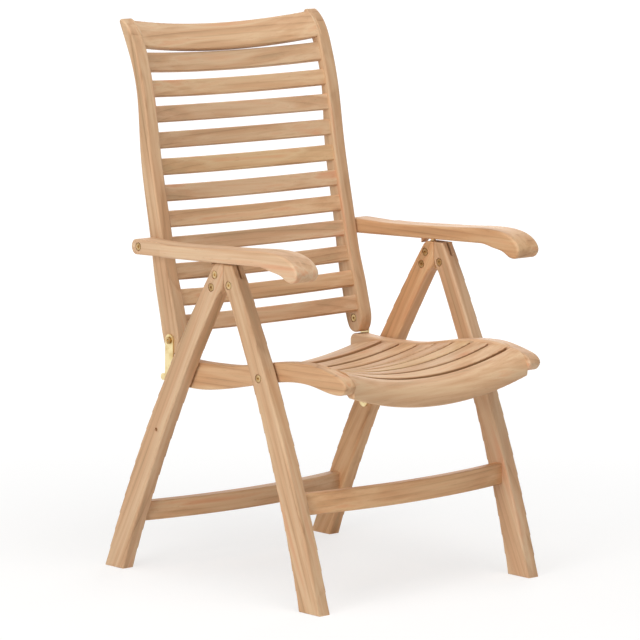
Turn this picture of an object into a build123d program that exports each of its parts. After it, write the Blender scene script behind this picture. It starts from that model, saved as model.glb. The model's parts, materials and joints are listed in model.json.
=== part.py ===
"""A folding, reclining teak armchair with brass fittings.

Millimetres. X runs across the chair, Y backwards and Z up, with the origin on the floor.
Side outlines are drawn in the YZ plane, and the left side is the mirror of the right side.
"""
import os
from math import acos, asin, degrees

from build123d import *

# Reach of the cutting shapes, well past the chair, and the extra angle of a sweep in degrees
SPAN = 1600.0
SWEEP_MARGIN = 1.0

# Layers across the chair, measured from its middle plane
STILE_INNER_X = 225.0
STILE_THICKNESS = 30.0
STRAP_SIDE_GAP = 0.5
STRAP_THICKNESS = 3.0
LEG_THICKNESS = 30.0
ARM_SPACER_GAP = 3.0
ARM_WIDTH = 58.0
ARM_TONGUE_WIDTH = 44.0

# Legs: outlines between two bowed edges, one pair of edges to a leg
LEG_TOP_Z = 645.0
FRONT_FOOT_FRONT_Y = -310.6
FRONT_FOOT_REAR_Y = -251.6
REAR_FOOT_FRONT_Y = 290.4
REAR_FOOT_REAR_Y = 346.4
MITRE_Y = -29.6
MITRE_GAP = 1.2
MITRE_HEIGHT = 33.0
FORK_DEPTH = 48.0
FRONT_FORK_RELIEF = 4.0
REAR_FORK_RELIEF = 2.3
FLARE_DEPTH = 68.0
FRONT_FLARE_RUN = 17.1
REAR_FLARE_RUN = 22.7
FRONT_TOP_WIDTH = 25.0
REAR_TOP_WIDTH = 31.5
REAR_TOP_DROP = 9.0
FRONT_LEG_FRONT_BOW = 20.0
FRONT_LEG_REAR_BOW = 16.0
REAR_LEG_FRONT_BOW = 15.0
REAR_LEG_REAR_BOW = 22.0
LEG_EASE = 3.5

# Stretchers between the legs
STRETCHER_BOW = 30.0
FRONT_STRETCHER_Z = 200.0
FRONT_STRETCHER_HEIGHT = 42.0
FRONT_STRETCHER_DEPTH = 20.0
REAR_STRETCHER_Z = 118.0
REAR_STRETCHER_HEIGHT = 38.0
REAR_STRETCHER_DEPTH = 26.0
STRETCHER_TENON = 12.0
STRETCHER_EASE = 3.0

# Seat: offsets are measured from its pivot, backwards and up
BACK_PIVOT_BACK = 308.0
BACK_PIVOT_RISE = 37.5
RAIL_TOP = (
    (305.0, 6.0),
    (262.0, 4.0),
    (215.0, 3.0),
    (165.0, 4.5),
    (112.0, 8.0),
    (62.0, 16.0),
    (12.0, 25.0),
    (-39.0, 32.0),
    (-85.0, 35.0),
    (-115.0, 34.5),
    (-153.0, 29.0),
    (-188.0, 21.0),
    (-206.0, 13.0),
    (-212.5, 3.0),
    (-207.0, -8.0),
    (-196.0, -13.5),
)
RAIL_BOTTOM = ((-196.0, -13.5), (-119.0, -5.5), (63.0, -25.0), (200.0, -49.0), (305.0, -51.0))
RAIL_CHIN_SLOPE = -0.1
RAIL_END_ROUND = 14.0
RAIL_EASE = 4.0
SEAT_LINE = (
    (312.0, -21.0),
    (218.0, -1.0),
    (165.0, 1.5),
    (112.0, 5.0),
    (62.0, 12.5),
    (12.0, 21.0),
    (-39.0, 27.0),
    (-93.0, 30.5),
    (-160.0, 28.0),
)
REAR_SLAT_SAG = 26.0
FRONT_SLAT_SAG = 38.0
SEAT_SLAT_THICKNESS = 18.0
SEAT_SLAT_EASE = 3.0
SEAT_SLAT_GAP = 10.0
REAR_SLAT_WIDTH = 92.0
NARROW_SLAT_WIDTH = 43.0
NARROW_SLAT_COUNT = 7
FRONT_SLAT_FLAT = 18.0
FRONT_SLAT_REACH = 53.0
FRONT_SLAT_DROP = 43.5
FRONT_SLAT_CHIN = 14.0
FRONT_SLAT_EASE = 3.0
SLAT_TENON = 8.0

# Brass straps and the pivots on them
STRAP_WIDTH = 24.0
STRAP_PIN_Z = 297.0
STRAP_PIN_FORWARD = 4.8
SEAT_LINK_DROP = 37.0
STRAP_EAR_REACH = 18.0
STRAP_EAR_RADIUS = 7.0

# Back: offsets are measured from its pivot, backwards and up
STILE_FRONT = (
    (-20.0, -18.0),
    (-24.0, 2.0),
    (-17.5, 34.0),
    (-5.0, 80.0),
    (11.5, 131.0),
    (25.0, 191.4),
    (62.0, 367.4),
    (84.0, 494.4),
    (101.0, 551.5),
    (120.7, 596.6),
    (139.4, 617.2),
    (149.0, 623.5),
)
STILE_REAR = (
    (16.0, -19.0),
    (22.0, -6.0),
    (34.0, 41.0),
    (46.0, 92.0),
    (63.0, 191.4),
    (94.0, 367.4),
    (108.0, 500.0),
    (126.6, 553.3),
    (150.0, 602.4),
    (156.5, 616.0),
)
STILE_HEEL = (-2.0, -29.0)
STILE_EASE = 4.0
BACK_BOW = 26.0
BACK_SLAT_COUNT = 11
BACK_SLAT_HEIGHT = 33.0
BACK_SLAT_THICKNESS = 13.0
BACK_SLAT_PITCH = 51.9
BACK_SLAT_START = 54.1
BACK_SLAT_SETBACK = 7.0
TOP_SLAT_HEIGHT = 39.0
BACK_SLAT_EASE = 3.0
TOP_RAIL_GAP = 11.0
TOP_RAIL_INSET = 2.0
TOP_RAIL_SETBACK = 1.5
TOP_RAIL_FOOT = 18.0
TOP_RAIL_TIP = 8.0
TOP_RAIL_STEPS = 6
TOP_RAIL_EASE = 3.0

# Arms: offsets are measured from the arm pivot, backwards and up
ARM_PIVOT_BACK = 41.0
ARM_PIVOT_RISE = 185.0
ARM_TOP = (
    (4.0, 15.0),
    (-90.0, 13.5),
    (-219.0, 18.5),
    (-319.0, 23.5),
    (-409.0, 27.5),
    (-457.0, 21.0),
    (-482.0, 8.0),
    (-492.0, -9.0),
    (-474.0, -25.5),
)
ARM_CHIN = ((-474.0, -25.5), (-447.0, -15.5), (-416.0, -9.0), (-378.0, -3.2))
ARM_UNDER_REAR = (4.0, -15.5)
ARM_TAIL = (20.0, 0.0)
ARM_SHOULDER_BACK = -80.0
ARM_SHOULDER_RUN = 5.0
ARM_EASE = 5.0
ARM_REST_BACK = -240.0
ARM_GAP = 4.5

# Notched racks under the arms, and the nose on the hinge plate that they catch on
RACK_WIDTH = 16.0
RACK_DEPTH = 11.0
RACK_LENGTH = 150.0
RACK_BACK = -201.0
NOTCH_COUNT = 5
NOTCH_PITCH = 24.0
NOTCH_RADIUS = 8.5
NOTCH_DEPTH = 5.0
TOOTH_LENGTH = 9.0
TOOTH_DROP = 9.0
NOSE_RADIUS = 7.0
NOSE_GAP = 0.6
FRONT_SCREW_INSET = 10.0
REAR_SCREW_INSET = 5.0

# Hinge plates in the leg tops: places are measured from the leg top and from the mitre
PLATE_THICKNESS = 5.0
PLATE_SLOT_CLEARANCE = 0.3
SLOT_END_CLEARANCE = 0.6
PLATE_EDGE = 11.0
LEG_PIVOT_FORWARD = 17.0
LEG_PIVOT_DEPTH = 40.0
UPPER_BOLT_BACK = 25.0
UPPER_BOLT_DEPTH = 23.0
LOWER_BOLT_BACK = 36.0
LOWER_BOLT_DEPTH = 48.5
NOSE_BACK = 16.0
SLOT_FRONT_DEPTH = 26.0
SLOT_REAR_DEPTH = 74.0

# Bolts and pins
BOLT_RADIUS = 4.0
HEAD_RADIUS = 7.0
HEAD_HEIGHT = 3.0
SOCKET_RADIUS = 2.9
SOCKET_DEPTH = 2.0
COUNTERBORE_RADIUS = 8.7
HEAD_SINK = 0.6
RUNNING_FIT = 0.05
WASHER_RADIUS = 9.0
WASHER_GAP = 0.3
BUSH_WALL = 2.0
OPEN_PIVOT_GAP = 0.3
PIN_END_SINK = 4.0
LINK_PIN_LENGTH = 20.0
SEAT_BOLT_BITE = 18.0
ARM_BOLT_BITE = 20.0
SCREW_RADIUS = 2.0
SCREW_HEAD_RADIUS = 3.5
SCREW_HEAD_HEIGHT = 2.0
SCREW_LENGTH = 16.0

# Worked out across the chair
STILE_OUTER_X = STILE_INNER_X + STILE_THICKNESS
STRAP_INNER_X = STILE_OUTER_X + STRAP_SIDE_GAP
STRAP_OUTER_X = STRAP_INNER_X + STRAP_THICKNESS
LEG_INNER_X = STRAP_OUTER_X + STRAP_SIDE_GAP
LEG_OUTER_X = LEG_INNER_X + LEG_THICKNESS
LEG_MIDDLE_X = (LEG_INNER_X + LEG_OUTER_X) / 2
ARM_INNER_X = STILE_OUTER_X + ARM_SPACER_GAP
ARM_OUTER_X = ARM_INNER_X + ARM_WIDTH
TONGUE_OUTER_X = ARM_INNER_X + ARM_TONGUE_WIDTH


def plus(base, offset):
    """The side-view point at an offset from another one."""
    return (base[0] + offset[0], base[1] + offset[1])


def bow_arc(start, end, bow):
    """A round arc between two side-view points, bowed to the right of its direction."""
    chord = Vector(end[0] - start[0], end[1] - start[1])
    middle = Vector((start[0] + end[0]) / 2, (start[1] + end[1]) / 2)
    side = Vector(chord.Y, -chord.X).normalized()
    return ThreePointArc(start, middle + side * bow, end)


def prism(edges, inner_x, outer_x):
    """The solid between two distances from the middle plane with a side outline."""
    return extrude(Plane.YZ.offset(inner_x) * make_face(edges), outer_x - inner_x)


def eased(solid, radius):
    """Rounds the edges of the two flat sides of a solid made by prism."""
    return fillet(solid.faces().filter_by(Axis.X).edges(), radius)


def rod(at, radius, inner_x, outer_x):
    """A round bar along X at a side-view point."""
    return extrude(Plane.YZ.offset(inner_x) * Pos(*at) * Circle(radius), outer_x - inner_x)


def slab(low, high):
    """A box between two opposite corners."""
    size = [b - a for a, b in zip(low, high)]
    return Pos(*low) * Box(*size, align=Align.MIN)


def both(solid):
    """A right-hand solid with its mirror image, as one group."""
    return Compound(children=[solid, mirror(solid, about=Plane.YZ)])


def both_of(solids):
    """Right-hand solids with their mirror images, as one group."""
    mirrored = [mirror(solid, about=Plane.YZ) for solid in solids]
    return Compound(children=[*solids, *mirrored])


def socket(at, face_x, depth):
    """A hexagon socket sunk along X from a face."""
    hexagon = Pos(*at) * RegularPolygon(SOCKET_RADIUS, 6)
    return extrude(Plane.YZ.offset(face_x) * hexagon, depth)


def screw_bolt(at, inner_x, outer_x):
    """A bolt along X with a flat head and a hexagon socket at its outer end."""
    body = rod(at, BOLT_RADIUS, inner_x, outer_x)
    body += rod(at, HEAD_RADIUS, outer_x - HEAD_HEIGHT, outer_x)
    return body - socket(at, outer_x, -SOCKET_DEPTH)


def bolt(at, inner_x, outer_x):
    """A bolt along X with a flat head and a socket at both ends."""
    body = screw_bolt(at, inner_x, outer_x) + rod(at, HEAD_RADIUS, inner_x, inner_x + HEAD_HEIGHT)
    return body - socket(at, inner_x, SOCKET_DEPTH)


def bored(solid, at, inner_x, outer_x, radius):
    """Drills a hole along X through a solid."""
    return solid - rod(at, radius, inner_x, outer_x)


def arc_radius(half_span, sag):
    """The radius of an arc with a given half span and sag."""
    return (half_span**2 + sag**2) / (2 * sag)


def turned(section, axis, half_span, radius):
    """Sweeps a middle section round an axis far enough to pass a half span on both sides."""
    half_angle = degrees(asin(half_span / radius)) + SWEEP_MARGIN
    return revolve(section.rotate(axis, -half_angle), axis, 2 * half_angle)


def trimmed(solid, half_width):
    """Cuts a solid off square at both sides of the chair."""
    return solid & Box(2 * half_width, 2 * SPAN, 2 * SPAN)


def frame_at(curve, length):
    """The plane of the side view at a length along a curve: x along the curve, z to the chair's right."""
    at = curve.position_at(length, position_mode=PositionMode.LENGTH)
    along = curve.tangent_at(length, position_mode=PositionMode.LENGTH)
    return Plane(
        origin=(0, at.X, at.Y), x_dir=(0, along.X, along.Y), z_dir=(1, 0, 0)
    )


def arm_under(back):
    """The height of the arm's straight underside above its pivot, at an offset behind the pivot."""
    front = ARM_CHIN[-1]
    run = (back - ARM_UNDER_REAR[0]) / (front[0] - ARM_UNDER_REAR[0])
    return ARM_UNDER_REAR[1] + run * (front[1] - ARM_UNDER_REAR[1])


def between(front_edge, rear_edge, height):
    """The side-view point midway between a leg's two edges at a height."""
    level = Line((-SPAN, height), (SPAN, height))
    front = front_edge.intersect(level).vertices()[0]
    rear = rear_edge.intersect(level).vertices()[0]
    return ((front.X + rear.X) / 2, height)


# Leg edges in the side view: each inner edge bends at its flare to the fork and the mitre
MITRE_FOOT_Z = LEG_TOP_Z - MITRE_HEIGHT
FORK_Z = LEG_TOP_Z - FORK_DEPTH
FLARE_Z = LEG_TOP_Z - FLARE_DEPTH
FRONT_MITRE_Y = MITRE_Y - MITRE_GAP / 2
REAR_MITRE_Y = MITRE_Y + MITRE_GAP / 2
FRONT_TOP = (FRONT_MITRE_Y - FRONT_TOP_WIDTH, LEG_TOP_Z)
REAR_SHOULDER = (REAR_MITRE_Y + REAR_TOP_WIDTH, LEG_TOP_Z - REAR_TOP_DROP)
FRONT_FLARE = (FRONT_MITRE_Y - FRONT_FLARE_RUN, FLARE_Z)
REAR_FLARE = (REAR_MITRE_Y + REAR_FLARE_RUN, FLARE_Z)
FRONT_FORK = (FRONT_MITRE_Y - FRONT_FORK_RELIEF, FORK_Z)
REAR_FORK = (REAR_MITRE_Y + REAR_FORK_RELIEF, FORK_Z)
FRONT_LEG_FRONT = bow_arc((FRONT_FOOT_FRONT_Y, 0), FRONT_TOP, -FRONT_LEG_FRONT_BOW)
FRONT_LEG_REAR = bow_arc((FRONT_FOOT_REAR_Y, 0), FRONT_FLARE, -FRONT_LEG_REAR_BOW)
REAR_LEG_FRONT = bow_arc((REAR_FOOT_FRONT_Y, 0), REAR_FLARE, REAR_LEG_FRONT_BOW)
REAR_LEG_REAR = bow_arc((REAR_FOOT_REAR_Y, 0), REAR_SHOULDER, REAR_LEG_REAR_BOW)

# Pivots in the side view, from the arm rest down
ARM_PIVOT_Z = LEG_TOP_Z + ARM_GAP - arm_under(ARM_REST_BACK)
SEAT_PIVOT_Z = ARM_PIVOT_Z - ARM_PIVOT_RISE - BACK_PIVOT_RISE
SEAT_PIVOT = between(FRONT_LEG_FRONT, FRONT_LEG_REAR, SEAT_PIVOT_Z)
BACK_PIVOT = plus(SEAT_PIVOT, (BACK_PIVOT_BACK, BACK_PIVOT_RISE))
ARM_PIVOT = plus(BACK_PIVOT, (ARM_PIVOT_BACK, ARM_PIVOT_RISE))
STRAP_PIN = plus(between(REAR_LEG_FRONT, REAR_LEG_REAR, STRAP_PIN_Z), (-STRAP_PIN_FORWARD, 0))
LINK_SHARE = (SEAT_PIVOT_Z - SEAT_LINK_DROP - STRAP_PIN_Z) / (BACK_PIVOT[1] - STRAP_PIN_Z)
SEAT_LINK = (
    STRAP_PIN[0] + LINK_SHARE * (BACK_PIVOT[0] - STRAP_PIN[0]),
    SEAT_PIVOT_Z - SEAT_LINK_DROP,
)
LEG_PIVOT = (MITRE_Y - LEG_PIVOT_FORWARD, LEG_TOP_Z - LEG_PIVOT_DEPTH)
UPPER_BOLT = (MITRE_Y + UPPER_BOLT_BACK, LEG_TOP_Z - UPPER_BOLT_DEPTH)
LOWER_BOLT = (MITRE_Y + LOWER_BOLT_BACK, LEG_TOP_Z - LOWER_BOLT_DEPTH)
NOSE_Y = MITRE_Y + NOSE_BACK
NOSE_TOP = ARM_PIVOT_Z + arm_under(NOSE_Y - ARM_PIVOT[0]) - NOSE_GAP
NOSE = (NOSE_Y, NOSE_TOP - NOSE_RADIUS)
LEG_BOLT_INNER = LEG_INNER_X + HEAD_SINK
LEG_BOLT_OUTER = LEG_OUTER_X - HEAD_SINK
COUNTERBORE_DEPTH = HEAD_SINK + HEAD_HEIGHT


def counterbored(solid, at, inner_x, outer_x, radius):
    """Drills a hole along X with a wider seat for a bolt head at each end."""
    solid = bored(solid, at, inner_x, outer_x, radius)
    solid = bored(solid, at, inner_x, inner_x + COUNTERBORE_DEPTH, COUNTERBORE_RADIUS)
    return bored(solid, at, outer_x - COUNTERBORE_DEPTH, outer_x, COUNTERBORE_RADIUS)


def stretcher(end_y, middle_z, height, depth):
    """A rail across the chair, bowed forwards, with its ends let into the legs."""
    radius = arc_radius(LEG_INNER_X, STRETCHER_BOW)
    section_plane = Plane(origin=(0, end_y - STRETCHER_BOW, middle_z), x_dir=(0, 1, 0), z_dir=(1, 0, 0))
    section = section_plane * RectangleRounded(depth, height, STRETCHER_EASE)
    axis = Axis((0, end_y - STRETCHER_BOW + radius, 0), (0, 0, 1))
    half_width = LEG_INNER_X + STRETCHER_TENON
    return trimmed(turned(section, axis, half_width, radius), half_width)


def hinge_plate():
    """The brass plate in the leg tops, with the nose that the arm racks catch on."""
    discs = [Pos(*at) * Circle(PLATE_EDGE) for at in (LEG_PIVOT, UPPER_BOLT, LOWER_BOLT)]
    discs.append(Pos(*NOSE) * Circle(NOSE_RADIUS))
    outline = make_hull([edge for disc in discs for edge in disc.edges()])
    inner_x = LEG_MIDDLE_X - PLATE_THICKNESS / 2
    outer_x = LEG_MIDDLE_X + PLATE_THICKNESS / 2
    plate = extrude(Plane.YZ.offset(inner_x) * outline, PLATE_THICKNESS)
    plate = bored(plate, LEG_PIVOT, inner_x, outer_x, BOLT_RADIUS + RUNNING_FIT)
    plate = bored(plate, UPPER_BOLT, inner_x, outer_x, BOLT_RADIUS)
    return bored(plate, LOWER_BOLT, inner_x, outer_x, BOLT_RADIUS)


def flare(edge, fork, mitre_foot):
    """The smooth bend of a leg's inner edge past the fork and up to the foot of the mitre."""
    return Spline(edge @ 1, fork, mitre_foot, tangents=(edge % 1, (0, 1)))


def front_leg(rail):
    """A bowed front leg, slotted at the top for the hinge plate to swing in."""
    mitre_foot = (FRONT_MITRE_Y, MITRE_FOOT_Z)
    mitre_top = (FRONT_MITRE_Y, LEG_TOP_Z)
    edges = [
        FRONT_LEG_FRONT,
        FRONT_LEG_REAR,
        Line((FRONT_FOOT_FRONT_Y, 0), (FRONT_FOOT_REAR_Y, 0)),
        flare(FRONT_LEG_REAR, FRONT_FORK, mitre_foot),
        Line(mitre_foot, mitre_top),
        Line(FRONT_TOP, mitre_top),
    ]
    leg = eased(prism(edges, LEG_INNER_X, LEG_OUTER_X), LEG_EASE)
    half_slot = PLATE_THICKNESS / 2 + PLATE_SLOT_CLEARANCE
    behind = LEG_PIVOT[0] - PLATE_EDGE - SLOT_END_CLEARANCE
    near = (LEG_MIDDLE_X - half_slot, -SPAN, LEG_TOP_Z - SLOT_FRONT_DEPTH)
    far = (LEG_MIDDLE_X + half_slot, REAR_MITRE_Y, SPAN)
    leg -= slab(near, far)
    leg -= slab((near[0], behind, LEG_TOP_Z - SLOT_REAR_DEPTH), far)
    leg = counterbored(leg, LEG_PIVOT, LEG_INNER_X, LEG_OUTER_X, BOLT_RADIUS)
    leg = bored(leg, SEAT_PIVOT, LEG_INNER_X, LEG_OUTER_X, BOLT_RADIUS)
    leg = bored(leg, SEAT_PIVOT, LEG_OUTER_X - COUNTERBORE_DEPTH, LEG_OUTER_X, COUNTERBORE_RADIUS)
    return leg - rail


def rear_leg(rail, plate):
    """A bowed rear leg that holds the hinge plate in a slot."""
    up = REAR_LEG_REAR % 1
    shoulder = JernArc(REAR_SHOULDER, up, REAR_TOP_DROP / (1 + up.X), degrees(acos(-up.X)))
    mitre_foot = (REAR_MITRE_Y, MITRE_FOOT_Z)
    mitre_top = (REAR_MITRE_Y, LEG_TOP_Z)
    edges = [
        REAR_LEG_FRONT,
        REAR_LEG_REAR,
        Line((REAR_FOOT_FRONT_Y, 0), (REAR_FOOT_REAR_Y, 0)),
        flare(REAR_LEG_FRONT, REAR_FORK, mitre_foot),
        Line(mitre_foot, mitre_top),
        Line(mitre_top, shoulder @ 1),
        shoulder,
    ]
    leg = eased(prism(edges, LEG_INNER_X, LEG_OUTER_X), LEG_EASE)
    for at in (UPPER_BOLT, LOWER_BOLT):
        leg = counterbored(leg, at, LEG_INNER_X, LEG_OUTER_X, BOLT_RADIUS)
    leg = bored(leg, STRAP_PIN, LEG_INNER_X, LEG_OUTER_X, BOLT_RADIUS)
    return leg - rail - plate


def strap():
    """A brass strap from the rear leg to the back, with a short ear at the seat."""
    line_discs = [Pos(*at) * Circle(STRAP_WIDTH / 2) for at in (STRAP_PIN, BACK_PIVOT)]
    body = make_hull([edge for disc in line_discs for edge in disc.edges()])
    ear_end = plus(SEAT_LINK, (STRAP_EAR_REACH, 0))
    ear_discs = [Pos(*at) * Circle(STRAP_EAR_RADIUS) for at in (SEAT_LINK, ear_end)]
    body += make_hull([edge for disc in ear_discs for edge in disc.edges()])
    link = extrude(Plane.YZ.offset(STRAP_INNER_X) * body, STRAP_THICKNESS)
    for at in (STRAP_PIN, BACK_PIVOT, SEAT_LINK):
        link = bored(link, at, STRAP_INNER_X, STRAP_OUTER_X, BOLT_RADIUS + RUNNING_FIT)
    return link


def seat_rail(slats):
    """A curved side rail of the seat, with housings for the slats."""
    top = [plus(SEAT_PIVOT, offset) for offset in RAIL_TOP]
    bottom = [plus(SEAT_PIVOT, offset) for offset in RAIL_BOTTOM]
    lower_round = JernArc(bottom[-1], (1, 0), RAIL_END_ROUND, 90)
    upper_start = plus(top[0], (RAIL_END_ROUND, -RAIL_END_ROUND))
    upper_round = JernArc(upper_start, (0, 1), RAIL_END_ROUND, 90)
    edges = [
        Spline(*top, tangents=((-1, 0), (1, RAIL_CHIN_SLOPE))),
        Spline(*bottom, tangents=((1, RAIL_CHIN_SLOPE), (1, 0))),
        lower_round,
        Line(lower_round @ 1, upper_start),
        upper_round,
    ]
    rail = eased(prism(edges, STILE_INNER_X, STILE_OUTER_X), RAIL_EASE)
    for slat in slats:
        rail -= slat
    bolt_end = STILE_OUTER_X - SEAT_BOLT_BITE - WASHER_GAP
    rail = bored(rail, SEAT_PIVOT, bolt_end, STILE_OUTER_X, BOLT_RADIUS + RUNNING_FIT)
    return bored(rail, SEAT_LINK, STILE_OUTER_X - LINK_PIN_LENGTH, STILE_OUTER_X, BOLT_RADIUS)


def hollow_slat(place, width, half_width, sag):
    """A seat slat that hangs in a round arc between the rails."""
    radius = arc_radius(STILE_INNER_X, sag)
    middle = sag + SEAT_SLAT_THICKNESS / 2
    section = place * Pos(0, middle) * RectangleRounded(width, SEAT_SLAT_THICKNESS, SEAT_SLAT_EASE)
    axis = Axis(place.from_local_coords((0, sag - radius, 0)), place.x_dir)
    return trimmed(turned(section, axis, half_width, radius), half_width)


def front_slat(place):
    """The wide front slat, with a rounded nose that turns down."""
    radius = arc_radius(STILE_INNER_X, FRONT_SLAT_SAG)
    flat_end = (FRONT_SLAT_FLAT, FRONT_SLAT_SAG)
    tip = (FRONT_SLAT_REACH, FRONT_SLAT_SAG + FRONT_SLAT_DROP)
    chin = (FRONT_SLAT_REACH - FRONT_SLAT_CHIN, FRONT_SLAT_SAG + FRONT_SLAT_DROP)
    inner = (0, FRONT_SLAT_SAG + SEAT_SLAT_THICKNESS)
    outline = make_face(
        [
            Line((0, FRONT_SLAT_SAG), flat_end),
            TangentArc(flat_end, tip, tangent=(1, 0)),
            Line(tip, chin),
            Line(chin, inner),
            Line(inner, (0, FRONT_SLAT_SAG)),
        ]
    )
    corners = [corner for corner in outline.vertices() if abs(corner.X - FRONT_SLAT_FLAT) > FRONT_SLAT_EASE]
    outline = fillet(corners, FRONT_SLAT_EASE)
    axis = Axis(place.from_local_coords((0, FRONT_SLAT_SAG - radius, 0)), place.x_dir)
    return trimmed(turned(place * outline, axis, STILE_INNER_X, radius), STILE_INNER_X)


def seat_slats():
    """All seat slats, from the rear to the front, each hanging a little deeper than the one behind it."""
    line = Spline(*[plus(SEAT_PIVOT, offset) for offset in SEAT_LINE])
    half_width = STILE_INNER_X + SLAT_TENON
    rear_place = frame_at(line, REAR_SLAT_WIDTH / 2)
    slats = [hollow_slat(rear_place, REAR_SLAT_WIDTH, half_width, REAR_SLAT_SAG)]
    sag_step = (FRONT_SLAT_SAG - REAR_SLAT_SAG) / (NARROW_SLAT_COUNT + 1)
    start = REAR_SLAT_WIDTH + SEAT_SLAT_GAP
    for index in range(NARROW_SLAT_COUNT):
        place = frame_at(line, start + NARROW_SLAT_WIDTH / 2)
        sag = REAR_SLAT_SAG + (index + 1) * sag_step
        slats.append(hollow_slat(place, NARROW_SLAT_WIDTH, half_width, sag))
        start += NARROW_SLAT_WIDTH + SEAT_SLAT_GAP
    slats.append(front_slat(frame_at(line, start)))
    return slats


def bowed_slat(place, height, thickness):
    """A slat of the back, bowed backwards in a round arc between the stiles."""
    radius = arc_radius(STILE_INNER_X, BACK_BOW)
    face = -BACK_SLAT_SETBACK - BACK_BOW
    section = place * Pos(0, face - thickness / 2) * RectangleRounded(height, thickness, BACK_SLAT_EASE)
    axis = Axis(place.from_local_coords((0, face + radius, 0)), place.x_dir)
    half_width = STILE_INNER_X + SLAT_TENON
    return trimmed(turned(section, axis, half_width, radius), half_width)


def head_rail(line, start, end):
    """The top rail: a board that follows the curl of the stiles, thinner at its top and bowed as the slats."""
    radius = arc_radius(STILE_INNER_X, BACK_BOW)
    middle = frame_at(line, (start + end) / 2)
    bow = middle.y_dir * -BACK_BOW
    front = []
    rear = []
    for step in range(TOP_RAIL_STEPS + 1):
        share = step / TOP_RAIL_STEPS
        place = frame_at(line, start + share * (end - start))
        thickness = TOP_RAIL_FOOT + share * (TOP_RAIL_TIP - TOP_RAIL_FOOT)
        front.append(place.from_local_coords((0, -TOP_RAIL_SETBACK, 0)) + bow)
        rear.append(place.from_local_coords((0, -TOP_RAIL_SETBACK - thickness, 0)) + bow)
    edges = [Spline(*front), Spline(*rear), Line(front[0], rear[0]), Line(front[-1], rear[-1])]
    section = fillet(make_face(edges).vertices(), TOP_RAIL_EASE)
    axis = Axis(middle.from_local_coords((0, radius - TOP_RAIL_SETBACK - BACK_BOW, 0)), middle.x_dir)
    half_width = STILE_INNER_X + SLAT_TENON
    return trimmed(turned(section, axis, half_width, radius), half_width)


def back_slats():
    """The top rail and the slats of the back, from the lowest slat up."""
    line = Spline(*[plus(BACK_PIVOT, offset) for offset in STILE_FRONT])
    slats = []
    for index in range(BACK_SLAT_COUNT - 1):
        place = frame_at(line, BACK_SLAT_START + index * BACK_SLAT_PITCH)
        slats.append(bowed_slat(place, BACK_SLAT_HEIGHT, BACK_SLAT_THICKNESS))
    foot = BACK_SLAT_START + (BACK_SLAT_COUNT - 1) * BACK_SLAT_PITCH - BACK_SLAT_HEIGHT / 2
    place = frame_at(line, foot + TOP_SLAT_HEIGHT / 2)
    slats.append(bowed_slat(place, TOP_SLAT_HEIGHT, BACK_SLAT_THICKNESS))
    return head_rail(line, foot + TOP_SLAT_HEIGHT + TOP_RAIL_GAP, line.length - TOP_RAIL_INSET), slats


def back_stile(slats):
    """A curved side post of the back, with housings for the slats."""
    front = [plus(BACK_PIVOT, offset) for offset in STILE_FRONT]
    rear = [plus(BACK_PIVOT, offset) for offset in STILE_REAR]
    front_edge = Spline(*front)
    edges = [
        front_edge,
        Spline(*rear),
        ThreePointArc(front[0], plus(BACK_PIVOT, STILE_HEEL), rear[0]),
        TangentArc(front[-1], rear[-1], tangent=front_edge % 1),
    ]
    stile = eased(prism(edges, STILE_INNER_X, STILE_OUTER_X), STILE_EASE)
    for slat in slats:
        stile -= slat
    bolt_end = STILE_OUTER_X - ARM_BOLT_BITE - WASHER_GAP
    stile = bored(stile, ARM_PIVOT, bolt_end, STILE_OUTER_X, BOLT_RADIUS + RUNNING_FIT)
    stile = bored(stile, BACK_PIVOT, STILE_INNER_X, STILE_OUTER_X, BOLT_RADIUS + RUNNING_FIT)
    head_seat = STILE_INNER_X + COUNTERBORE_DEPTH + WASHER_GAP
    return bored(stile, BACK_PIVOT, STILE_INNER_X, head_seat, COUNTERBORE_RADIUS)


def rack_blank(inner_x, outer_x):
    """The bar that is let into the arm, with its lower face on the arm's underside."""
    rear_end = (RACK_BACK, arm_under(RACK_BACK))
    front_end = (RACK_BACK - RACK_LENGTH, arm_under(RACK_BACK - RACK_LENGTH))
    corners = [rear_end, front_end, plus(front_end, (0, RACK_DEPTH)), plus(rear_end, (0, RACK_DEPTH))]
    outline = Polyline(*[plus(ARM_PIVOT, corner) for corner in corners], close=True)
    return prism([outline], inner_x, outer_x)


def arm_rack():
    """A notched bar under the arm with a tooth at its rear end."""
    inner_x = LEG_MIDDLE_X - RACK_WIDTH / 2
    outer_x = LEG_MIDDLE_X + RACK_WIDTH / 2
    rack = rack_blank(inner_x, outer_x)
    tooth_top = (RACK_BACK, arm_under(RACK_BACK))
    tooth = [
        tooth_top,
        plus(tooth_top, (0, -TOOTH_DROP)),
        (RACK_BACK - TOOTH_LENGTH, arm_under(RACK_BACK - TOOTH_LENGTH)),
    ]
    rack += prism([Polyline(*[plus(ARM_PIVOT, corner) for corner in tooth], close=True)], inner_x, outer_x)
    for index in range(NOTCH_COUNT):
        back = NOSE[0] - ARM_PIVOT[0] - index * NOTCH_PITCH
        centre = plus(ARM_PIVOT, (back, arm_under(back) + NOTCH_DEPTH - NOTCH_RADIUS))
        rack -= rod(centre, NOTCH_RADIUS, inner_x, outer_x)
    return rack


def rack_screw_places():
    """The side-view points on the arm's underside where the rack screws go in."""
    rear = RACK_BACK - TOOTH_LENGTH - REAR_SCREW_INSET
    front = RACK_BACK - RACK_LENGTH + FRONT_SCREW_INSET
    return [plus(ARM_PIVOT, (back, arm_under(back))) for back in (rear, front)]


def rack_screw(at):
    """An upright brass screw that holds a rack in the arm."""
    seat = Pos(LEG_MIDDLE_X, *at)
    upright = (Align.CENTER, Align.CENTER, Align.MIN)
    shank = seat * Cylinder(SCREW_RADIUS, SCREW_LENGTH, align=upright)
    return shank + seat * Cylinder(SCREW_HEAD_RADIUS, SCREW_HEAD_HEIGHT, align=upright)


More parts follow.
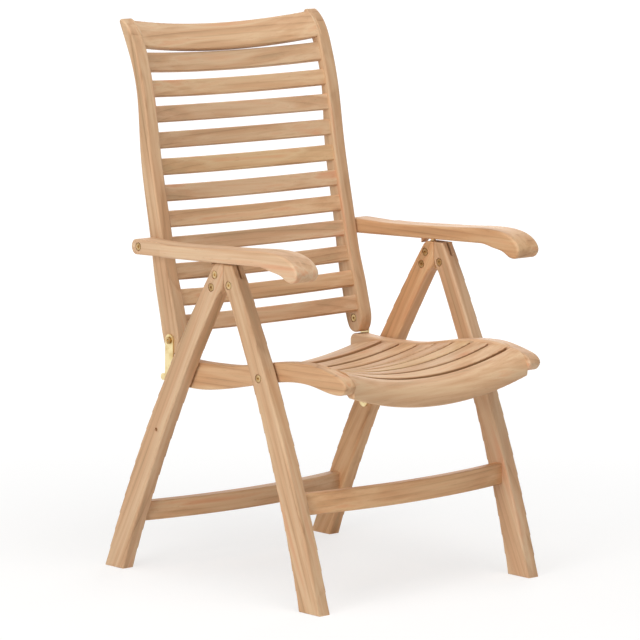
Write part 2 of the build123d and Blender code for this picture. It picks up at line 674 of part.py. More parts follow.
def arm():
    """An arm that curls down at the front, with a narrower tongue at the rear."""
    top = [plus(ARM_PIVOT, offset) for offset in ARM_TOP]
    chin = [plus(ARM_PIVOT, offset) for offset in ARM_CHIN]
    under_rear = plus(ARM_PIVOT, ARM_UNDER_REAR)
    edges = [
        Spline(*top, tangents=((-1, 0), (1, 0))),
        Spline(*chin, tangents=((1, 0), (under_rear[0] - chin[-1][0], under_rear[1] - chin[-1][1]))),
        Line(chin[-1], under_rear),
        ThreePointArc(under_rear, plus(ARM_PIVOT, ARM_TAIL), top[0]),
    ]
    body = eased(prism(edges, ARM_INNER_X, ARM_OUTER_X), ARM_EASE)
    shoulder = ARM_PIVOT[0] + ARM_SHOULDER_BACK
    waste = Polyline(
        (TONGUE_OUTER_X, SPAN),
        (TONGUE_OUTER_X, shoulder),
        (SPAN, shoulder - ARM_SHOULDER_RUN * (SPAN - TONGUE_OUTER_X) / (ARM_WIDTH - ARM_TONGUE_WIDTH)),
        (SPAN, SPAN),
        close=True,
    )
    body -= extrude(make_face([waste]), SPAN)
    body -= rack_blank(LEG_MIDDLE_X - RACK_WIDTH / 2, LEG_MIDDLE_X + RACK_WIDTH / 2)
    sleeve = BOLT_RADIUS + BUSH_WALL + 2 * RUNNING_FIT
    body = bored(body, ARM_PIVOT, ARM_INNER_X, TONGUE_OUTER_X, sleeve)
    head_seat = TONGUE_OUTER_X - COUNTERBORE_DEPTH - WASHER_GAP
    return bored(body, ARM_PIVOT, head_seat, TONGUE_OUTER_X, COUNTERBORE_RADIUS)


def arm_bush():
    """A brass bush on the arm bolt, inside the arm."""
    inner_x = ARM_INNER_X + WASHER_GAP
    outer_x = TONGUE_OUTER_X - COUNTERBORE_DEPTH - WASHER_GAP
    bush = rod(ARM_PIVOT, BOLT_RADIUS + BUSH_WALL + RUNNING_FIT, inner_x, outer_x)
    return bored(bush, ARM_PIVOT, inner_x, outer_x, BOLT_RADIUS + RUNNING_FIT)


def washer(at, inner_x, outer_x):
    """A spacer ring round a bolt, a little thinner than the gap that it fills."""
    ring = rod(at, WASHER_RADIUS, inner_x + WASHER_GAP, outer_x - WASHER_GAP)
    return bored(ring, at, inner_x, outer_x, BOLT_RADIUS)


def build():
    """Makes every sub-part, by name."""
    nodes = {}

    def pair(name, solid):
        nodes[f"{name}_right"] = solid
        nodes[f"{name}_left"] = mirror(solid, about=Plane.YZ)

    front_end = between(FRONT_LEG_FRONT, FRONT_LEG_REAR, FRONT_STRETCHER_Z)
    front_rail = stretcher(front_end[0], FRONT_STRETCHER_Z, FRONT_STRETCHER_HEIGHT, FRONT_STRETCHER_DEPTH)
    rear_end = between(REAR_LEG_FRONT, REAR_LEG_REAR, REAR_STRETCHER_Z)
    rear_rail = stretcher(rear_end[0], REAR_STRETCHER_Z, REAR_STRETCHER_HEIGHT, REAR_STRETCHER_DEPTH)
    plate = hinge_plate()
    pair("front_leg", front_leg(front_rail))
    pair("rear_leg", rear_leg(rear_rail, plate))
    pair("leg_hinge_plate", plate)
    nodes["front_stretcher"] = front_rail
    nodes["rear_stretcher"] = rear_rail

    nodes["leg_pivot_bolts"] = both(bolt(LEG_PIVOT, LEG_BOLT_INNER, LEG_BOLT_OUTER))
    plate_bolts = [bolt(at, LEG_BOLT_INNER, LEG_BOLT_OUTER) for at in (UPPER_BOLT, LOWER_BOLT)]
    nodes["hinge_plate_bolts"] = both_of(plate_bolts)
    seat_bolt = screw_bolt(SEAT_PIVOT, STILE_OUTER_X - SEAT_BOLT_BITE, LEG_BOLT_OUTER)
    nodes["seat_pivot_bolts"] = both(seat_bolt)
    nodes["seat_pivot_washers"] = both(washer(SEAT_PIVOT, STILE_OUTER_X, LEG_INNER_X))
    nodes["strap_pivot_pins"] = both(
        rod(STRAP_PIN, BOLT_RADIUS, STRAP_INNER_X, LEG_OUTER_X - PIN_END_SINK)
    )
    pair("strap", strap())

    slats = seat_slats()
    pair("seat_rail", seat_rail(slats))
    for index, slat in enumerate(slats, start=1):
        nodes[f"seat_slat_{index}"] = slat
    link_end = STRAP_INNER_X - OPEN_PIVOT_GAP
    nodes["seat_link_pins"] = both(
        rod(SEAT_LINK, BOLT_RADIUS, STILE_OUTER_X - LINK_PIN_LENGTH, link_end)
    )

    top_rail, back = back_slats()
    pair("back_stile", back_stile([top_rail, *back]))
    nodes["back_top_rail"] = top_rail
    for index, slat in enumerate(reversed(back), start=1):
        nodes[f"back_slat_{index:02d}"] = slat
    back_bolt_outer = STRAP_OUTER_X + WASHER_GAP + HEAD_HEIGHT
    stile_bolt_inner = STILE_INNER_X + HEAD_SINK
    nodes["back_hinge_bolts"] = both(bolt(BACK_PIVOT, stile_bolt_inner, back_bolt_outer))

    arm_bolt_outer = TONGUE_OUTER_X - HEAD_SINK
    arm_bolt = screw_bolt(ARM_PIVOT, STILE_OUTER_X - ARM_BOLT_BITE, arm_bolt_outer)
    nodes["arm_pivot_bolts"] = both(arm_bolt)
    nodes["arm_spacer_washers"] = both(washer(ARM_PIVOT, STILE_OUTER_X, ARM_INNER_X))
    nodes["arm_bushes"] = both(arm_bush())
    screws = [rack_screw(at) for at in rack_screw_places()]
    rack = arm_rack()
    body = arm()
    for screw in screws:
        rack -= screw
        body -= screw
    pair("arm", body)
    pair("arm_rack", rack)
    pair("rack_screws", Compound(children=screws))
    return nodes


def main():
    os.makedirs("parts", exist_ok=True)
    for name, shape in build().items():
        export_step(shape, f"parts/{name}.step")


if __name__ == "__main__":
    main()
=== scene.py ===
"""Finish, light and camera for a folding, reclining teak armchair with brass fittings.

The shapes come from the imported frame, in metres, and this file gives each piece its wood or
metal. Every teak piece is cut from its own plank: its material has its own grain direction,
its own place in the log and its own tone.
"""
import json
from math import atan2, pi, radians

import bpy
from mathutils import Euler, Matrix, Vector


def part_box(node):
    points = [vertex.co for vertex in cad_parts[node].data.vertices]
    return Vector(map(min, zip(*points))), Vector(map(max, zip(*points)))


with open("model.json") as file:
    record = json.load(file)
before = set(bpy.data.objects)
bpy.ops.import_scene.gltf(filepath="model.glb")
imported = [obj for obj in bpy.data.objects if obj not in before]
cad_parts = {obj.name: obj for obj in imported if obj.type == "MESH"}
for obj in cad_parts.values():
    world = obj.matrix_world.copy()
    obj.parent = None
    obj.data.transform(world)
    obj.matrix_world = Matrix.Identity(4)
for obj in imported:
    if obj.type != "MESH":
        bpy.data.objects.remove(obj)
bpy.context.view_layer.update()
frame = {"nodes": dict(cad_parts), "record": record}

bl_info = {
    "name": "Folding teak recliner",
    "version": (1, 0, 0),
    "blender": (4, 5, 0),
    "location": "View3D > Sidebar > Recliner",
    "description": "Teak and brass finish, studio light and camera for a folding reclining chair",
    "category": "Object",
}

MM = 0.001
SIDES = ("left", "right")

# Each plank's seed, from which its place in the log and its tone are drawn
SEEDS = {
    "front_leg_left": 11,
    "rear_leg_left": 10,
    "front_leg_right": 15,
    "rear_leg_right": 14,
    "front_stretcher": 19,
    "rear_stretcher": 22,
    "seat_rail_left": 45,
    "seat_rail_right": 46,
    **{f"seat_slat_{index}": 32 + index for index in range(1, 9)},
    "seat_slat_9": 74,
    "back_stile_left": 50,
    "back_stile_right": 32,
    "back_top_rail": 53,
    **{f"back_slat_{index:02d}": 54 + index for index in range(1, 12)},
    "arm_left": 67,
    "arm_right": 87,
    "arm_rack_left": 84,
    "arm_rack_right": 85,
}
# What is drawn for a plank: the step from its seed, then the lowest and highest value. The leans
# are in degrees, the heart's place is in metres, and the rest are shares
DRAWS = {
    "lean_down": (0, -2.6, 2.6),
    "lean_aside": (7, -2.8, 2.8),
    "heart_along": (0, -3.0, 3.0),
    "heart_aside": (3, -0.06, 0.06),
    "heart_off": (5, 0.07, 0.16),
    "faint_line": (11, 0.03, 0.12),
    "bold_line": (13, 0.42, 0.72),
    "shade": (2, 0.95, 1.05),
    "green": (4, 0.98, 1.01),
    "blue": (9, 0.95, 1.06),
}
# Draws that step by the golden section fall evenly between their limits
GOLDEN = 0.618034

# Planks from near the heart of the log, with their share of its redder tint
ROSY_PLANKS = {"front_stretcher": 1.0, "rear_leg_right": 0.8, "arm_right": 0.7, "seat_rail_left": 0.5}
ROSY_TINT = (1.06, 0.97, 0.86)
# Strength of the growth lines on most planks, and on the quiet planks of the curved seat slats
FULL_FIGURE = 1.0
PLAIN_FIGURE = 0.4
# Share of umber painted on the seat slats' edges that face a gap: painted shade for the shadow in the
# gaps
GAP_PAINTED_SHADE = 0.8
# No painted shade on an edge
NO_PAINTED_SHADE = 0.0

# The wave texture has 20 units to a metre at scale 1, and one ring takes 2 pi of them
WAVE_RING = 2 * pi / 20
# The rings waver across the grain, and change little along it
RING_WAVER = 3.2
RING_ALONG = 0.03
# Where each tone or level stands on its pattern, from 0 to 1
STREAK_STOPS = (0.30, 0.44, 0.58, 0.72)
RING_LEVELS = ((0.0, 0.02), (0.55, 0.04), (0.86, 0.42), (0.94, 1.0), (1.0, 0.05))
BOLD_STREAK = 0.34
FAINT_STREAK = 0.56
FIBRE_STOPS = (0.28, 0.52, 0.76)
FIBRE_MIDDLE = 0.5
FIBRE_SHARE = 0.26
PORE_LEVELS = ((0.67, 0.0), (0.80, 0.32))
TARNISH_STOPS = (0.35, 0.6)
# Where the painted shade on the seat slats' edges starts and ends, by the way they face, from 0 for
# straight forward to 1 for straight back
EDGE_STOPS = (0.03, 0.14, 0.86, 0.97)

# Slopes of the grain in the side view, as rise over run towards the rear
SEAT_RAIL_SLOPE = -0.06
ARM_SLOPE = -0.03
# The way a post leans from its foot to its top
BACKWARD = 1.0
FORWARD = -1.0
# The turn of a plank whose grain runs from side to side
ACROSS = (0.0, 0.0, 0.0)

# Fittings that are cut from flat sheet; the others are turned from rod
SHEET_FITTINGS = ("strap_left", "strap_right", "leg_hinge_plate")
# Along z the brushing lines change at this share of their rate across it
SCRATCH_ALONG = 0.08

# Each lamp's name, place, aim and side in metres, and the setting that holds its power
LAMPS = (
    ("top_lamp", (-0.8, -1.2, 4.9), (0.0, 0.0, 0.5), 3.0, "top_light"),
    ("key_lamp", (-4.0, -1.2, 1.5), (0.0, 0.0, 0.45), 2.0, "key_light"),
    ("fill_lamp", (3.6, 2.4, 1.8), (0.0, 0.0, 0.45), 2.4, "fill_light"),
)
SENSOR_MM = 36.0
CAMERA_REACH = 200.0


def linear(hex_colour):
    """An sRGB hex colour as linear red, green, blue and a full alpha."""
    values = [int(hex_colour[i : i + 2], 16) / 255 for i in (1, 3, 5)]
    return (*[v / 12.92 if v <= 0.04045 else ((v + 0.055) / 1.055) ** 2.4 for v in values], 1.0)


def grey(value):
    """A grey of a given linear level."""
    return (value, value, value, 1.0)


def colour(hex_colour, name, description):
    """A colour property that starts from an sRGB hex value."""
    return bpy.props.FloatVectorProperty(
        name=name,
        description=description,
        subtype="COLOR",
        size=4,
        min=0,
        max=1,
        default=linear(hex_colour),
    )


def number(value, name, description, **kind):
    """A number property with its kind, such as a subtype, unit or limits."""
    return bpy.props.FloatProperty(name=name, description=description, default=value, **kind)


def length(millimetres, name, description):
    """A length property in metres that starts from a size in millimetres."""
    return number(millimetres * MM, name, description, subtype="DISTANCE", unit="LENGTH", min=0)


def share(value, name, description):
    """A property between 0 and 1."""
    return number(value, name, description, subtype="FACTOR", min=0, max=1)


class TeakFinish(bpy.types.PropertyGroup):
    """Colours and grain sizes of the sanded teak."""

    straw: colour("#DBBA93", "Straw", "Pale early wood")
    honey: colour("#D0A67E", "Honey", "Middle tone of the wood")
    umber: colour("#98673A", "Umber", "Dark line at the end of a year's growth")
    rose: colour("#D8A27A", "Rose", "Reddish streaks")
    olive: colour("#C3A079", "Olive", "Greyish streaks")
    fibre_dark: colour("#A59A90", "Fibre dark", "Shade that dark fibres lay over the wood")
    fibre_pale: colour("#C6C1B8", "Fibre pale", "Shade that pale fibres lay over the wood")
    ring_width: length(12.0, "Ring width", "Width of one year's growth on the sawn face")
    fibre_width: length(2.6, "Fibre width", "Width of the fine fibre streaks")
    fibre_length: length(150.0, "Fibre length", "Length of the fine fibre streaks")
    streak_width: length(26.0, "Streak width", "Width of the broad colour streaks")
    streak_length: length(520.0, "Streak length", "Length of the broad colour streaks")
    pore_width: length(1.7, "Pore width", "Width of the dark pores")
    pore_length: length(24.0, "Pore length", "Length of the dark pores")
    roughness: share(0.56, "Roughness", "Gloss of the sanded wood")


class BrassFinish(bpy.types.PropertyGroup):
    """Colours of the brass fittings."""

    bright: colour("#F1DEAC", "Bright", "Polished brass of the straps and plates")
    dull: colour("#DFC48C", "Dull", "Light tarnish on the straps and plates")
    bolt_bright: colour("#D3B584", "Bolt bright", "Rubbed brass of the bolts and pins")
    bolt_dull: colour("#A98655", "Bolt dull", "Tarnish on the bolts and pins")
    patch: length(14.0, "Patch size", "Size of the tarnish patches")
    scratch: length(0.6, "Scratch width", "Width of the brushing lines")
    roughness: share(0.34, "Roughness", "Gloss of the brass")


class StudioStage(bpy.types.PropertyGroup):
    """Floor, light and camera."""

    floor: colour("#F6F5F3", "Floor", "Colour of the floor")
    floor_size: length(120000.0, "Floor size", "Side of the square floor")
    floor_lift: share(0.6, "Floor lift", "Share of plain white in the floor under the chair")
    floor_white: number(1.12, "Floor white", "Brightness of the plain white in the floor", min=0)
    shadow_reach: length(700.0, "Shadow reach", "Where the floor starts to turn plain white")
    white_reach: length(3200.0, "White reach", "Where the floor has turned plain white")
    sky: number(0.26, "Sky", "Strength of the even light", min=0)
    top_light: number(124.0, "Top light", "Power of the overhead lamp", min=0)
    key_light: number(78.0, "Key light", "Power of the lamp at the left", min=0)
    fill_light: number(45.0, "Fill light", "Power of the lamp behind at the right", min=0)
    camera_place: bpy.props.FloatVectorProperty(
        name="Camera place",
        description="Where the camera stands",
        subtype="TRANSLATION",
        unit="LENGTH",
        default=(-5.178, -5.9559, 1.6156),
    )
    camera_yaw: number(
        radians(40.915), "Camera yaw", "Turn of the view from straight back to the right", subtype="ANGLE"
    )
    camera_pitch: number(
        radians(7.996), "Camera pitch", "Tilt of the view below the level", subtype="ANGLE"
    )
    camera_lens: number(
        226.93, "Camera lens", "Focal length on a 36 mm sensor", subtype="DISTANCE_CAMERA"
    )


def add(tree, kind, inputs=None, **settings):
    """Adds a node, gives it its settings, and sets or links its inputs."""
    made = tree.nodes.new(kind)
    for key, value in settings.items():
        setattr(made, key, value)
    for key, value in (inputs or {}).items():
        if isinstance(value, bpy.types.NodeSocket):
            tree.links.new(value, made.inputs[key])
        else:
            made.inputs[key].default_value = value
    return made


def empty_material(name):
    """A new material with an empty node tree."""
    material = bpy.data.materials.new(name)
    material.use_nodes = True
    material.node_tree.nodes.clear()
    return material, material.node_tree


def ramp(tree, factor, stops):
    """A colour ramp between (position, colour) stops."""
    stops = list(stops)
    made = add(tree, "ShaderNodeValToRGB", {"Fac": factor})
    elements = made.color_ramp.elements
    while len(elements) < len(stops):
        elements.new(0.5)
    for element, (position, value) in zip(elements, stops):
        element.position = position
        element.color = value
    return made.outputs["Color"]


def grey_ramp(tree, factor, levels):
    """A ramp of greys between (position, level) stops."""
    return ramp(tree, factor, [(position, grey(level)) for position, level in levels])


def mixed(tree, factor, first, second, blend="MIX"):
    """A blend of two colours."""
    return add(
        tree,
        "ShaderNodeMix",
        {"Factor": factor, 6: first, 7: second},
        data_type="RGBA",
        blend_type=blend,
    ).outputs[2]


def scaled(tree, place, scales):
    """Coordinates multiplied by a scale on each axis."""
    return add(
        tree, "ShaderNodeVectorMath", {0: place, 1: scales}, operation="MULTIPLY"
    ).outputs["Vector"]


def drawn_out(tree, log, along, across, detail):
    """Noise in units of a pattern's own length along the grain and width across it."""
    return add(
        tree,
        "ShaderNodeTexNoise",
        {
            "Vector": scaled(tree, log, (1 / along, 1 / across, 1 / across)),
            "Scale": 1.0,
            "Detail": detail,
            "Roughness": 0.6,
        },
    ).outputs["Fac"]


def drawn(seed, what):
    """A plank's own value between the limits of a draw, which jumps about as the seed counts up."""
    step, low, high = DRAWS[what]
    return low + (high - low) * (((seed + step) * GOLDEN) % 1.0)


def log_place(tree, place, middle, turn, seed):
    """A piece's coordinates in its log: x along the grain, and the heart on the x axis.

    The plank lies a hand's breadth off the heart and leans by a few degrees, so that the rings
    show on a sawn face as long lines that run out slowly across it.
    """
    down, aside = (radians(drawn(seed, what)) for what in ("lean_down", "lean_aside"))
    lean = Euler((0.0, down, aside))
    rotation = lean.to_matrix() @ Euler(turn).to_matrix()
    heart = Vector([drawn(seed, what) for what in ("heart_along", "heart_aside", "heart_off")])
    return add(
        tree,
        "ShaderNodeMapping",
        {
            "Vector": place,
            "Location": heart - rotation @ Vector(middle),
            "Rotation": rotation.to_euler(),
        },
    ).outputs["Vector"]


def growth_rings(tree, log, width):
    """A saw wave across the years' growth: cylinders round the log's heart, of one ring's width."""
    return add(
        tree,
        "ShaderNodeTexWave",
        {
            "Vector": scaled(tree, log, (RING_ALONG, 1.0, 1.0)),
            "Scale": WAVE_RING / width,
            "Distortion": RING_WAVER,
            "Detail": 2.0,
            "Detail Scale": 0.5,
            "Detail Roughness": 0.5,
        },
        wave_type="RINGS",
        rings_direction="X",
        wave_profile="SAW",
    ).outputs["Fac"]


def teak(node, turn, figure, painted_shade):
    """Sanded teak plank: satin, open-pored, golden brown with soft darker growth lines.

    The turn lays the piece's grain along x. Fibres, pores and colour streaks are noise drawn out
    along the grain. Fibres and pores are drawn a few times coarser than real ones, which would be
    too fine to show. The figure is the strength of the growth lines, and the last argument gives the
    shares of umber painted as shade on the edges that face forward and back, where the seat gaps are in
    shadow.
    """
    finish = bpy.context.scene.teak_finish
    seed = SEEDS[node]
    material, tree = empty_material(f"teak_{node}")
    coordinates = add(tree, "ShaderNodeTexCoord").outputs
    log = log_place(tree, coordinates["Object"], middle_of(node), turn, seed)
    ring = growth_rings(tree, log, finish.ring_width)
    fibre = drawn_out(tree, log, finish.fibre_length, finish.fibre_width, detail=3.0)
    streak = drawn_out(tree, log, finish.streak_length, finish.streak_width, detail=2.5)
    pore = drawn_out(tree, log, finish.pore_length, finish.pore_width, detail=1.0)

    # Broad streaks give the ground tone, and the growth lines are bold only in the darker ones
    tone = ramp(tree, streak, zip(STREAK_STOPS, (finish.olive, finish.honey, finish.straw, finish.rose)))
    line = grey_ramp(tree, ring, RING_LEVELS)
    boldness = add(
        tree,
        "ShaderNodeMapRange",
        {
            "Value": streak,
            "From Min": FAINT_STREAK,
            "From Max": BOLD_STREAK,
            "To Min": figure * drawn(seed, "faint_line"),
            "To Max": figure * drawn(seed, "bold_line"),
        },
    ).outputs["Result"]
    weight = add(tree, "ShaderNodeMath", {0: line, 1: boldness}, operation="MULTIPLY").outputs[0]
    lined = mixed(tree, weight, tone, finish.umber)

    fibre_colours = (finish.fibre_dark, grey(FIBRE_MIDDLE), finish.fibre_pale)
    fibre_tone = ramp(tree, fibre, zip(FIBRE_STOPS, fibre_colours))
    fibred = mixed(tree, FIBRE_SHARE, lined, fibre_tone, "OVERLAY")
    pored = mixed(tree, grey_ramp(tree, pore, PORE_LEVELS), fibred, finish.umber)

    # The plank's own tone, reddened by its share of the heart's tint
    rosy = ROSY_PLANKS.get(node, 0.0)
    shade = drawn(seed, "shade")
    plank_tone = (shade, shade * drawn(seed, "green"), shade * drawn(seed, "blue"))
    rosy_tone = [value * (1 + rosy * (red - 1)) for value, red in zip(plank_tone, ROSY_TINT)]
    tint = mixed(tree, 1.0, pored, (*rosy_tone, 1.0), "MULTIPLY")
    # Painted shade: umber on the edges that face forward or back, chosen by their normal, for the shadow
    # in the seat gaps
    if any(painted_shade):
        front, rear = painted_shade
        facing = add(tree, "ShaderNodeSeparateXYZ", {0: coordinates["Normal"]}).outputs["Y"]
        turned = add(tree, "ShaderNodeMapRange", {"Value": facing, "From Min": -1.0}).outputs["Result"]
        painted_shade_mask = grey_ramp(tree, turned, zip(EDGE_STOPS, (front, NO_PAINTED_SHADE, NO_PAINTED_SHADE, rear)))
        tint = mixed(tree, painted_shade_mask, tint, finish.umber)

    gloss = add(
        tree,
        "ShaderNodeMapRange",
        {"Value": fibre, "To Min": finish.roughness + 0.08, "To Max": finish.roughness - 0.06},
    ).outputs["Result"]
    relief = add(
        tree, "ShaderNodeBump", {"Height": fibre, "Strength": 0.3, "Distance": 0.2 * MM}
    ).outputs["Normal"]
    shader = add(
        tree,
        "ShaderNodeBsdfPrincipled",
        {"Base Color": tint, "Roughness": gloss, "Normal": relief, "IOR": 1.5},
    )
    add(tree, "ShaderNodeOutputMaterial", {"Surface": shader.outputs["BSDF"]})
    return material


def brass(name, bright, dull):
    """Brushed brass: yellow metal with soft tarnish patches and fine lines along z."""
    finish = bpy.context.scene.brass_finish
    material, tree = empty_material(name)
    place = add(tree, "ShaderNodeTexCoord").outputs["Object"]
    patch = add(
        tree, "ShaderNodeTexNoise", {"Vector": place, "Scale": 1 / finish.patch, "Detail": 3.0}
    ).outputs["Fac"]
    closeness = 1 / finish.scratch
    line = add(
        tree,
        "ShaderNodeTexNoise",
        {
            "Vector": scaled(tree, place, (closeness, closeness, SCRATCH_ALONG * closeness)),
            "Scale": 1.0,
            "Detail": 2.0,
        },
    ).outputs["Fac"]
    tone = ramp(tree, patch, zip(TARNISH_STOPS, (dull, bright)))
    gloss = add(
        tree,
        "ShaderNodeMapRange",
        {"Value": patch, "To Min": finish.roughness + 0.1, "To Max": finish.roughness - 0.08},
    ).outputs["Result"]
    relief = add(
        tree, "ShaderNodeBump", {"Height": line, "Strength": 0.2, "Distance": 0.05 * MM}
    ).outputs["Normal"]
    shader = add(
        tree,
        "ShaderNodeBsdfPrincipled",
        {"Base Color": tone, "Roughness": gloss, "Normal": relief, "Metallic": 1.0},
    )
    add(tree, "ShaderNodeOutputMaterial", {"Surface": shader.outputs["BSDF"]})
    return material


def finish_node(node, material):
    """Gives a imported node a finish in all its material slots."""
    for slot in frame["nodes"][node].material_slots:
        slot.material = material


def middle_of(node):
    """The middle of a node's box at rest."""
    low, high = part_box(node)
    return [(a + b) / 2 for a, b in zip(low, high)]


def side_turn(along_y, along_z):
    """The turn that lays a side-view direction along x: first down to level, then across."""
    return (-atan2(along_z, along_y), 0.0, radians(-90))


def post_turn(node, lean):
    """The turn for a post that leans backward or forward between two corners of its box."""
    low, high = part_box(node)
    return side_turn(lean * (high[1] - low[1]), high[2] - low[2])


def plank(node, turn, figure=FULL_FIGURE, painted_shade=(NO_PAINTED_SHADE, NO_PAINTED_SHADE)):
    """Cuts a node from its own teak plank."""
    finish_node(node, teak(node, turn, figure, painted_shade))


class RECLINER_OT_legs(bpy.types.Operator):
    """Teak for the four legs, with the grain along each leg, and for the stretchers"""

    bl_idname = "recliner.legs"
    bl_label = "Legs and stretchers"

    def execute(self, context):
        for side in SIDES:
            front_leg = f"front_leg_{side}"
            rear_leg = f"rear_leg_{side}"
            plank(front_leg, post_turn(front_leg, BACKWARD))
            plank(rear_leg, post_turn(rear_leg, FORWARD))
        plank("front_stretcher", ACROSS)
        plank("rear_stretcher", ACROSS)
        return {"FINISHED"}


class RECLINER_OT_seat(bpy.types.Operator):
    """Teak for the seat rails and the seat slats"""

    bl_idname = "recliner.seat"
    bl_label = "Seat"

    def execute(self, context):
        for side in SIDES:
            plank(f"seat_rail_{side}", side_turn(1.0, SEAT_RAIL_SLOPE))
        # Painted shade on the edges that face a gap: the rear slat has a gap only before it, and the
        # front slat only behind it
        plank("seat_slat_1", ACROSS, PLAIN_FIGURE, (GAP_PAINTED_SHADE, NO_PAINTED_SHADE))
        for index in range(2, 9):
            plank(f"seat_slat_{index}", ACROSS, PLAIN_FIGURE, (GAP_PAINTED_SHADE, GAP_PAINTED_SHADE))
        plank("seat_slat_9", ACROSS, PLAIN_FIGURE, (NO_PAINTED_SHADE, GAP_PAINTED_SHADE))
        return {"FINISHED"}


class RECLINER_OT_back(bpy.types.Operator):
    """Teak for the stiles, the top rail and the back slats"""

    bl_idname = "recliner.back"
    bl_label = "Back"

    def execute(self, context):
        for side in SIDES:
            stile = f"back_stile_{side}"
            plank(stile, post_turn(stile, BACKWARD))
        plank("back_top_rail", ACROSS)
        for index in range(1, 12):
            plank(f"back_slat_{index:02d}", ACROSS)
        return {"FINISHED"}


class RECLINER_OT_arms(bpy.types.Operator):
    """Teak for the arms and their racks"""

    bl_idname = "recliner.arms"
    bl_label = "Arms"

    def execute(self, context):
        for side in SIDES:
            plank(f"arm_{side}", side_turn(1.0, ARM_SLOPE))
            plank(f"arm_rack_{side}", side_turn(1.0, ARM_SLOPE))
        return {"FINISHED"}


class RECLINER_OT_fittings(bpy.types.Operator):
    """Brass for the bolts, pins, washers, bushes, straps and hinge plates"""

    bl_idname = "recliner.fittings"
    bl_label = "Brass fittings"

    def execute(self, context):
        finish = context.scene.brass_finish
        sheet = brass("rolled_brass", finish.bright, finish.dull)
        turned = brass("turned_brass", finish.bolt_bright, finish.bolt_dull)
        for subpart in frame["record"]["subparts"]:
            if subpart["material_slot"] == "brass":
                node = subpart["node"]
                finish_node(node, sheet if node.startswith(SHEET_FITTINGS) else turned)
        return {"FINISHED"}


def seen_directly(tree):
    """One where the eye, a shiny surface or glass looks on, and zero where light bounces."""
    path = add(tree, "ShaderNodeLightPath").outputs
    mirrored = add(
        tree,
        "ShaderNodeMath",
        {0: path["Is Glossy Ray"], 1: path["Is Transmission Ray"]},
        operation="MAXIMUM",
    ).outputs[0]
    return add(
        tree, "ShaderNodeMath", {0: path["Is Camera Ray"], 1: mirrored}, operation="MAXIMUM"
    ).outputs[0]


def studio_paper(stage):
    """White paper that keeps the chair's shadow near it and fades to plain white around it."""
    material, tree = empty_material("studio_paper")
    seen = seen_directly(tree)
    place = add(tree, "ShaderNodeTexCoord").outputs["Object"]
    reach = add(tree, "ShaderNodeVectorMath", {0: place}, operation="LENGTH").outputs["Value"]
    whiteness = add(
        tree,
        "ShaderNodeMapRange",
        {
            "Value": reach,
            "From Min": stage.shadow_reach,
            "From Max": stage.white_reach,
            "To Min": stage.floor_lift,
            "To Max": 1.0,
        },
    ).outputs["Result"]
    lift = add(tree, "ShaderNodeMath", {0: seen, 1: whiteness}, operation="MULTIPLY").outputs[0]
    paper = add(tree, "ShaderNodeBsdfDiffuse", {"Color": stage.floor})
    white = add(tree, "ShaderNodeEmission", {"Color": grey(1.0), "Strength": stage.floor_white})
    mix = add(tree, "ShaderNodeMixShader", {0: lift, 1: paper.outputs[0], 2: white.outputs[0]})
    add(tree, "ShaderNodeOutputMaterial", {"Surface": mix.outputs[0]})
    return material


def studio_floor(scene, stage):
    """A wide square floor."""
    half = stage.floor_size / 2
    corners = [(-half, -half, 0), (half, -half, 0), (half, half, 0), (-half, half, 0)]
    mesh = bpy.data.meshes.new("studio_floor")
    mesh.from_pydata(corners, [], [(0, 1, 2, 3)])
    floor = bpy.data.objects.new("studio_floor", mesh)
    scene.collection.objects.link(floor)
    mesh.materials.append(studio_paper(stage))


def studio_air(scene, stage):
    """Even light from all round, seen as plain white."""
    world = bpy.data.worlds.new("studio_air")
    scene.world = world
    world.use_nodes = True
    tree = world.node_tree
    tree.nodes.clear()
    strength = add(
        tree,
        "ShaderNodeMapRange",
        {"Value": seen_directly(tree), "To Min": stage.sky, "To Max": 1.0},
    ).outputs["Result"]
    air = add(tree, "ShaderNodeBackground", {"Color": grey(1.0), "Strength": strength})
    add(tree, "ShaderNodeOutputWorld", {"Surface": air.outputs[0]})


def studio_lamp(scene, name, place, aim, side, power):
    """A square soft lamp that is turned to its aim."""
    light = bpy.data.lights.new(name, "AREA")
    light.size = side
    light.energy = power
    lamp = bpy.data.objects.new(name, light)
    lamp.location = place
    lamp.rotation_euler = (Vector(aim) - Vector(place)).to_track_quat("-Z", "Y").to_euler()
    scene.collection.objects.link(lamp)


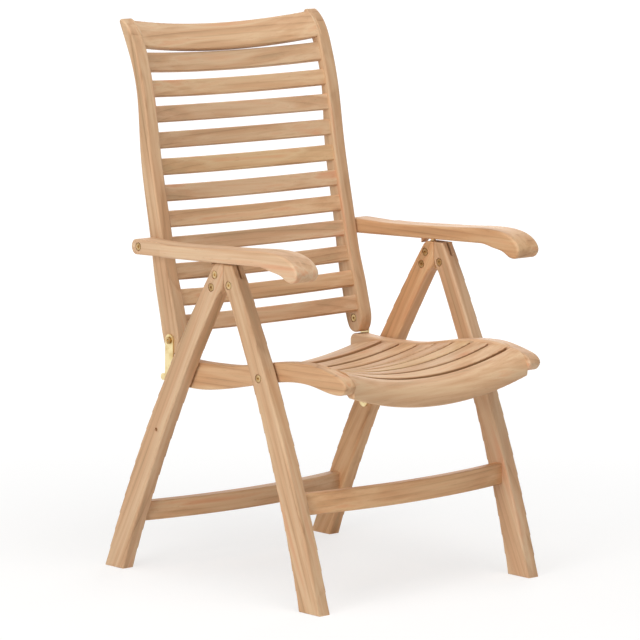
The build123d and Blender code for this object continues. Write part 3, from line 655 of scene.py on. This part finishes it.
def photo_camera(scene, stage):
    """The camera at the photograph's viewing angle."""
    camera = bpy.data.cameras.new("photo_camera")
    camera.sensor_width = SENSOR_MM
    camera.lens = stage.camera_lens
    camera.clip_end = CAMERA_REACH
    eye = bpy.data.objects.new("photo_camera", camera)
    eye.location = stage.camera_place
    eye.rotation_euler = (radians(90) - stage.camera_pitch, 0.0, -stage.camera_yaw)
    scene.collection.objects.link(eye)
    scene.camera = eye


class RECLINER_OT_stage(bpy.types.Operator):
    """White studio floor, soft light and the camera"""

    bl_idname = "recliner.stage"
    bl_label = "Stage"

    def execute(self, context):
        scene = context.scene
        stage = scene.studio_stage
        scene.view_settings.view_transform = "Standard"
        studio_floor(scene, stage)
        studio_air(scene, stage)
        for name, place, aim, side, power in LAMPS:
            studio_lamp(scene, name, place, aim, side, getattr(stage, power))
        photo_camera(scene, stage)
        return {"FINISHED"}


class RECLINER_PT_panel(bpy.types.Panel):
    """Lists the steps that dress the chair, and their settings"""

    bl_idname = "RECLINER_PT_panel"
    bl_label = "Recliner"
    bl_space_type = "VIEW_3D"
    bl_region_type = "UI"
    bl_category = "Recliner"

    def draw(self, context):
        for step in STEPS:
            self.layout.operator(step.bl_idname)
        for group in GROUPS:
            settings = getattr(context.scene, group)
            for key in settings.__annotations__:
                self.layout.prop(settings, key)


STEPS = (
    RECLINER_OT_legs,
    RECLINER_OT_seat,
    RECLINER_OT_back,
    RECLINER_OT_arms,
    RECLINER_OT_fittings,
    RECLINER_OT_stage,
)
GROUPS = {"teak_finish": TeakFinish, "brass_finish": BrassFinish, "studio_stage": StudioStage}
CLASSES = (*GROUPS.values(), *STEPS, RECLINER_PT_panel)


def register():
    """Adds the classes and their settings to Blender."""
    for cls in CLASSES:
        bpy.utils.register_class(cls)
    for key, group in GROUPS.items():
        setattr(bpy.types.Scene, key, bpy.props.PointerProperty(type=group))


def unregister():
    """Takes the classes and their settings out of Blender."""
    for key in GROUPS:
        delattr(bpy.types.Scene, key)
    for cls in reversed(CLASSES):
        bpy.utils.unregister_class(cls)


def main():
    """Dresses the chair."""
    register()
    bpy.ops.recliner.legs()
    bpy.ops.recliner.seat()
    bpy.ops.recliner.back()
    bpy.ops.recliner.arms()
    bpy.ops.recliner.fittings()
    bpy.ops.recliner.stage()


if __name__ == "__main__":
    main()
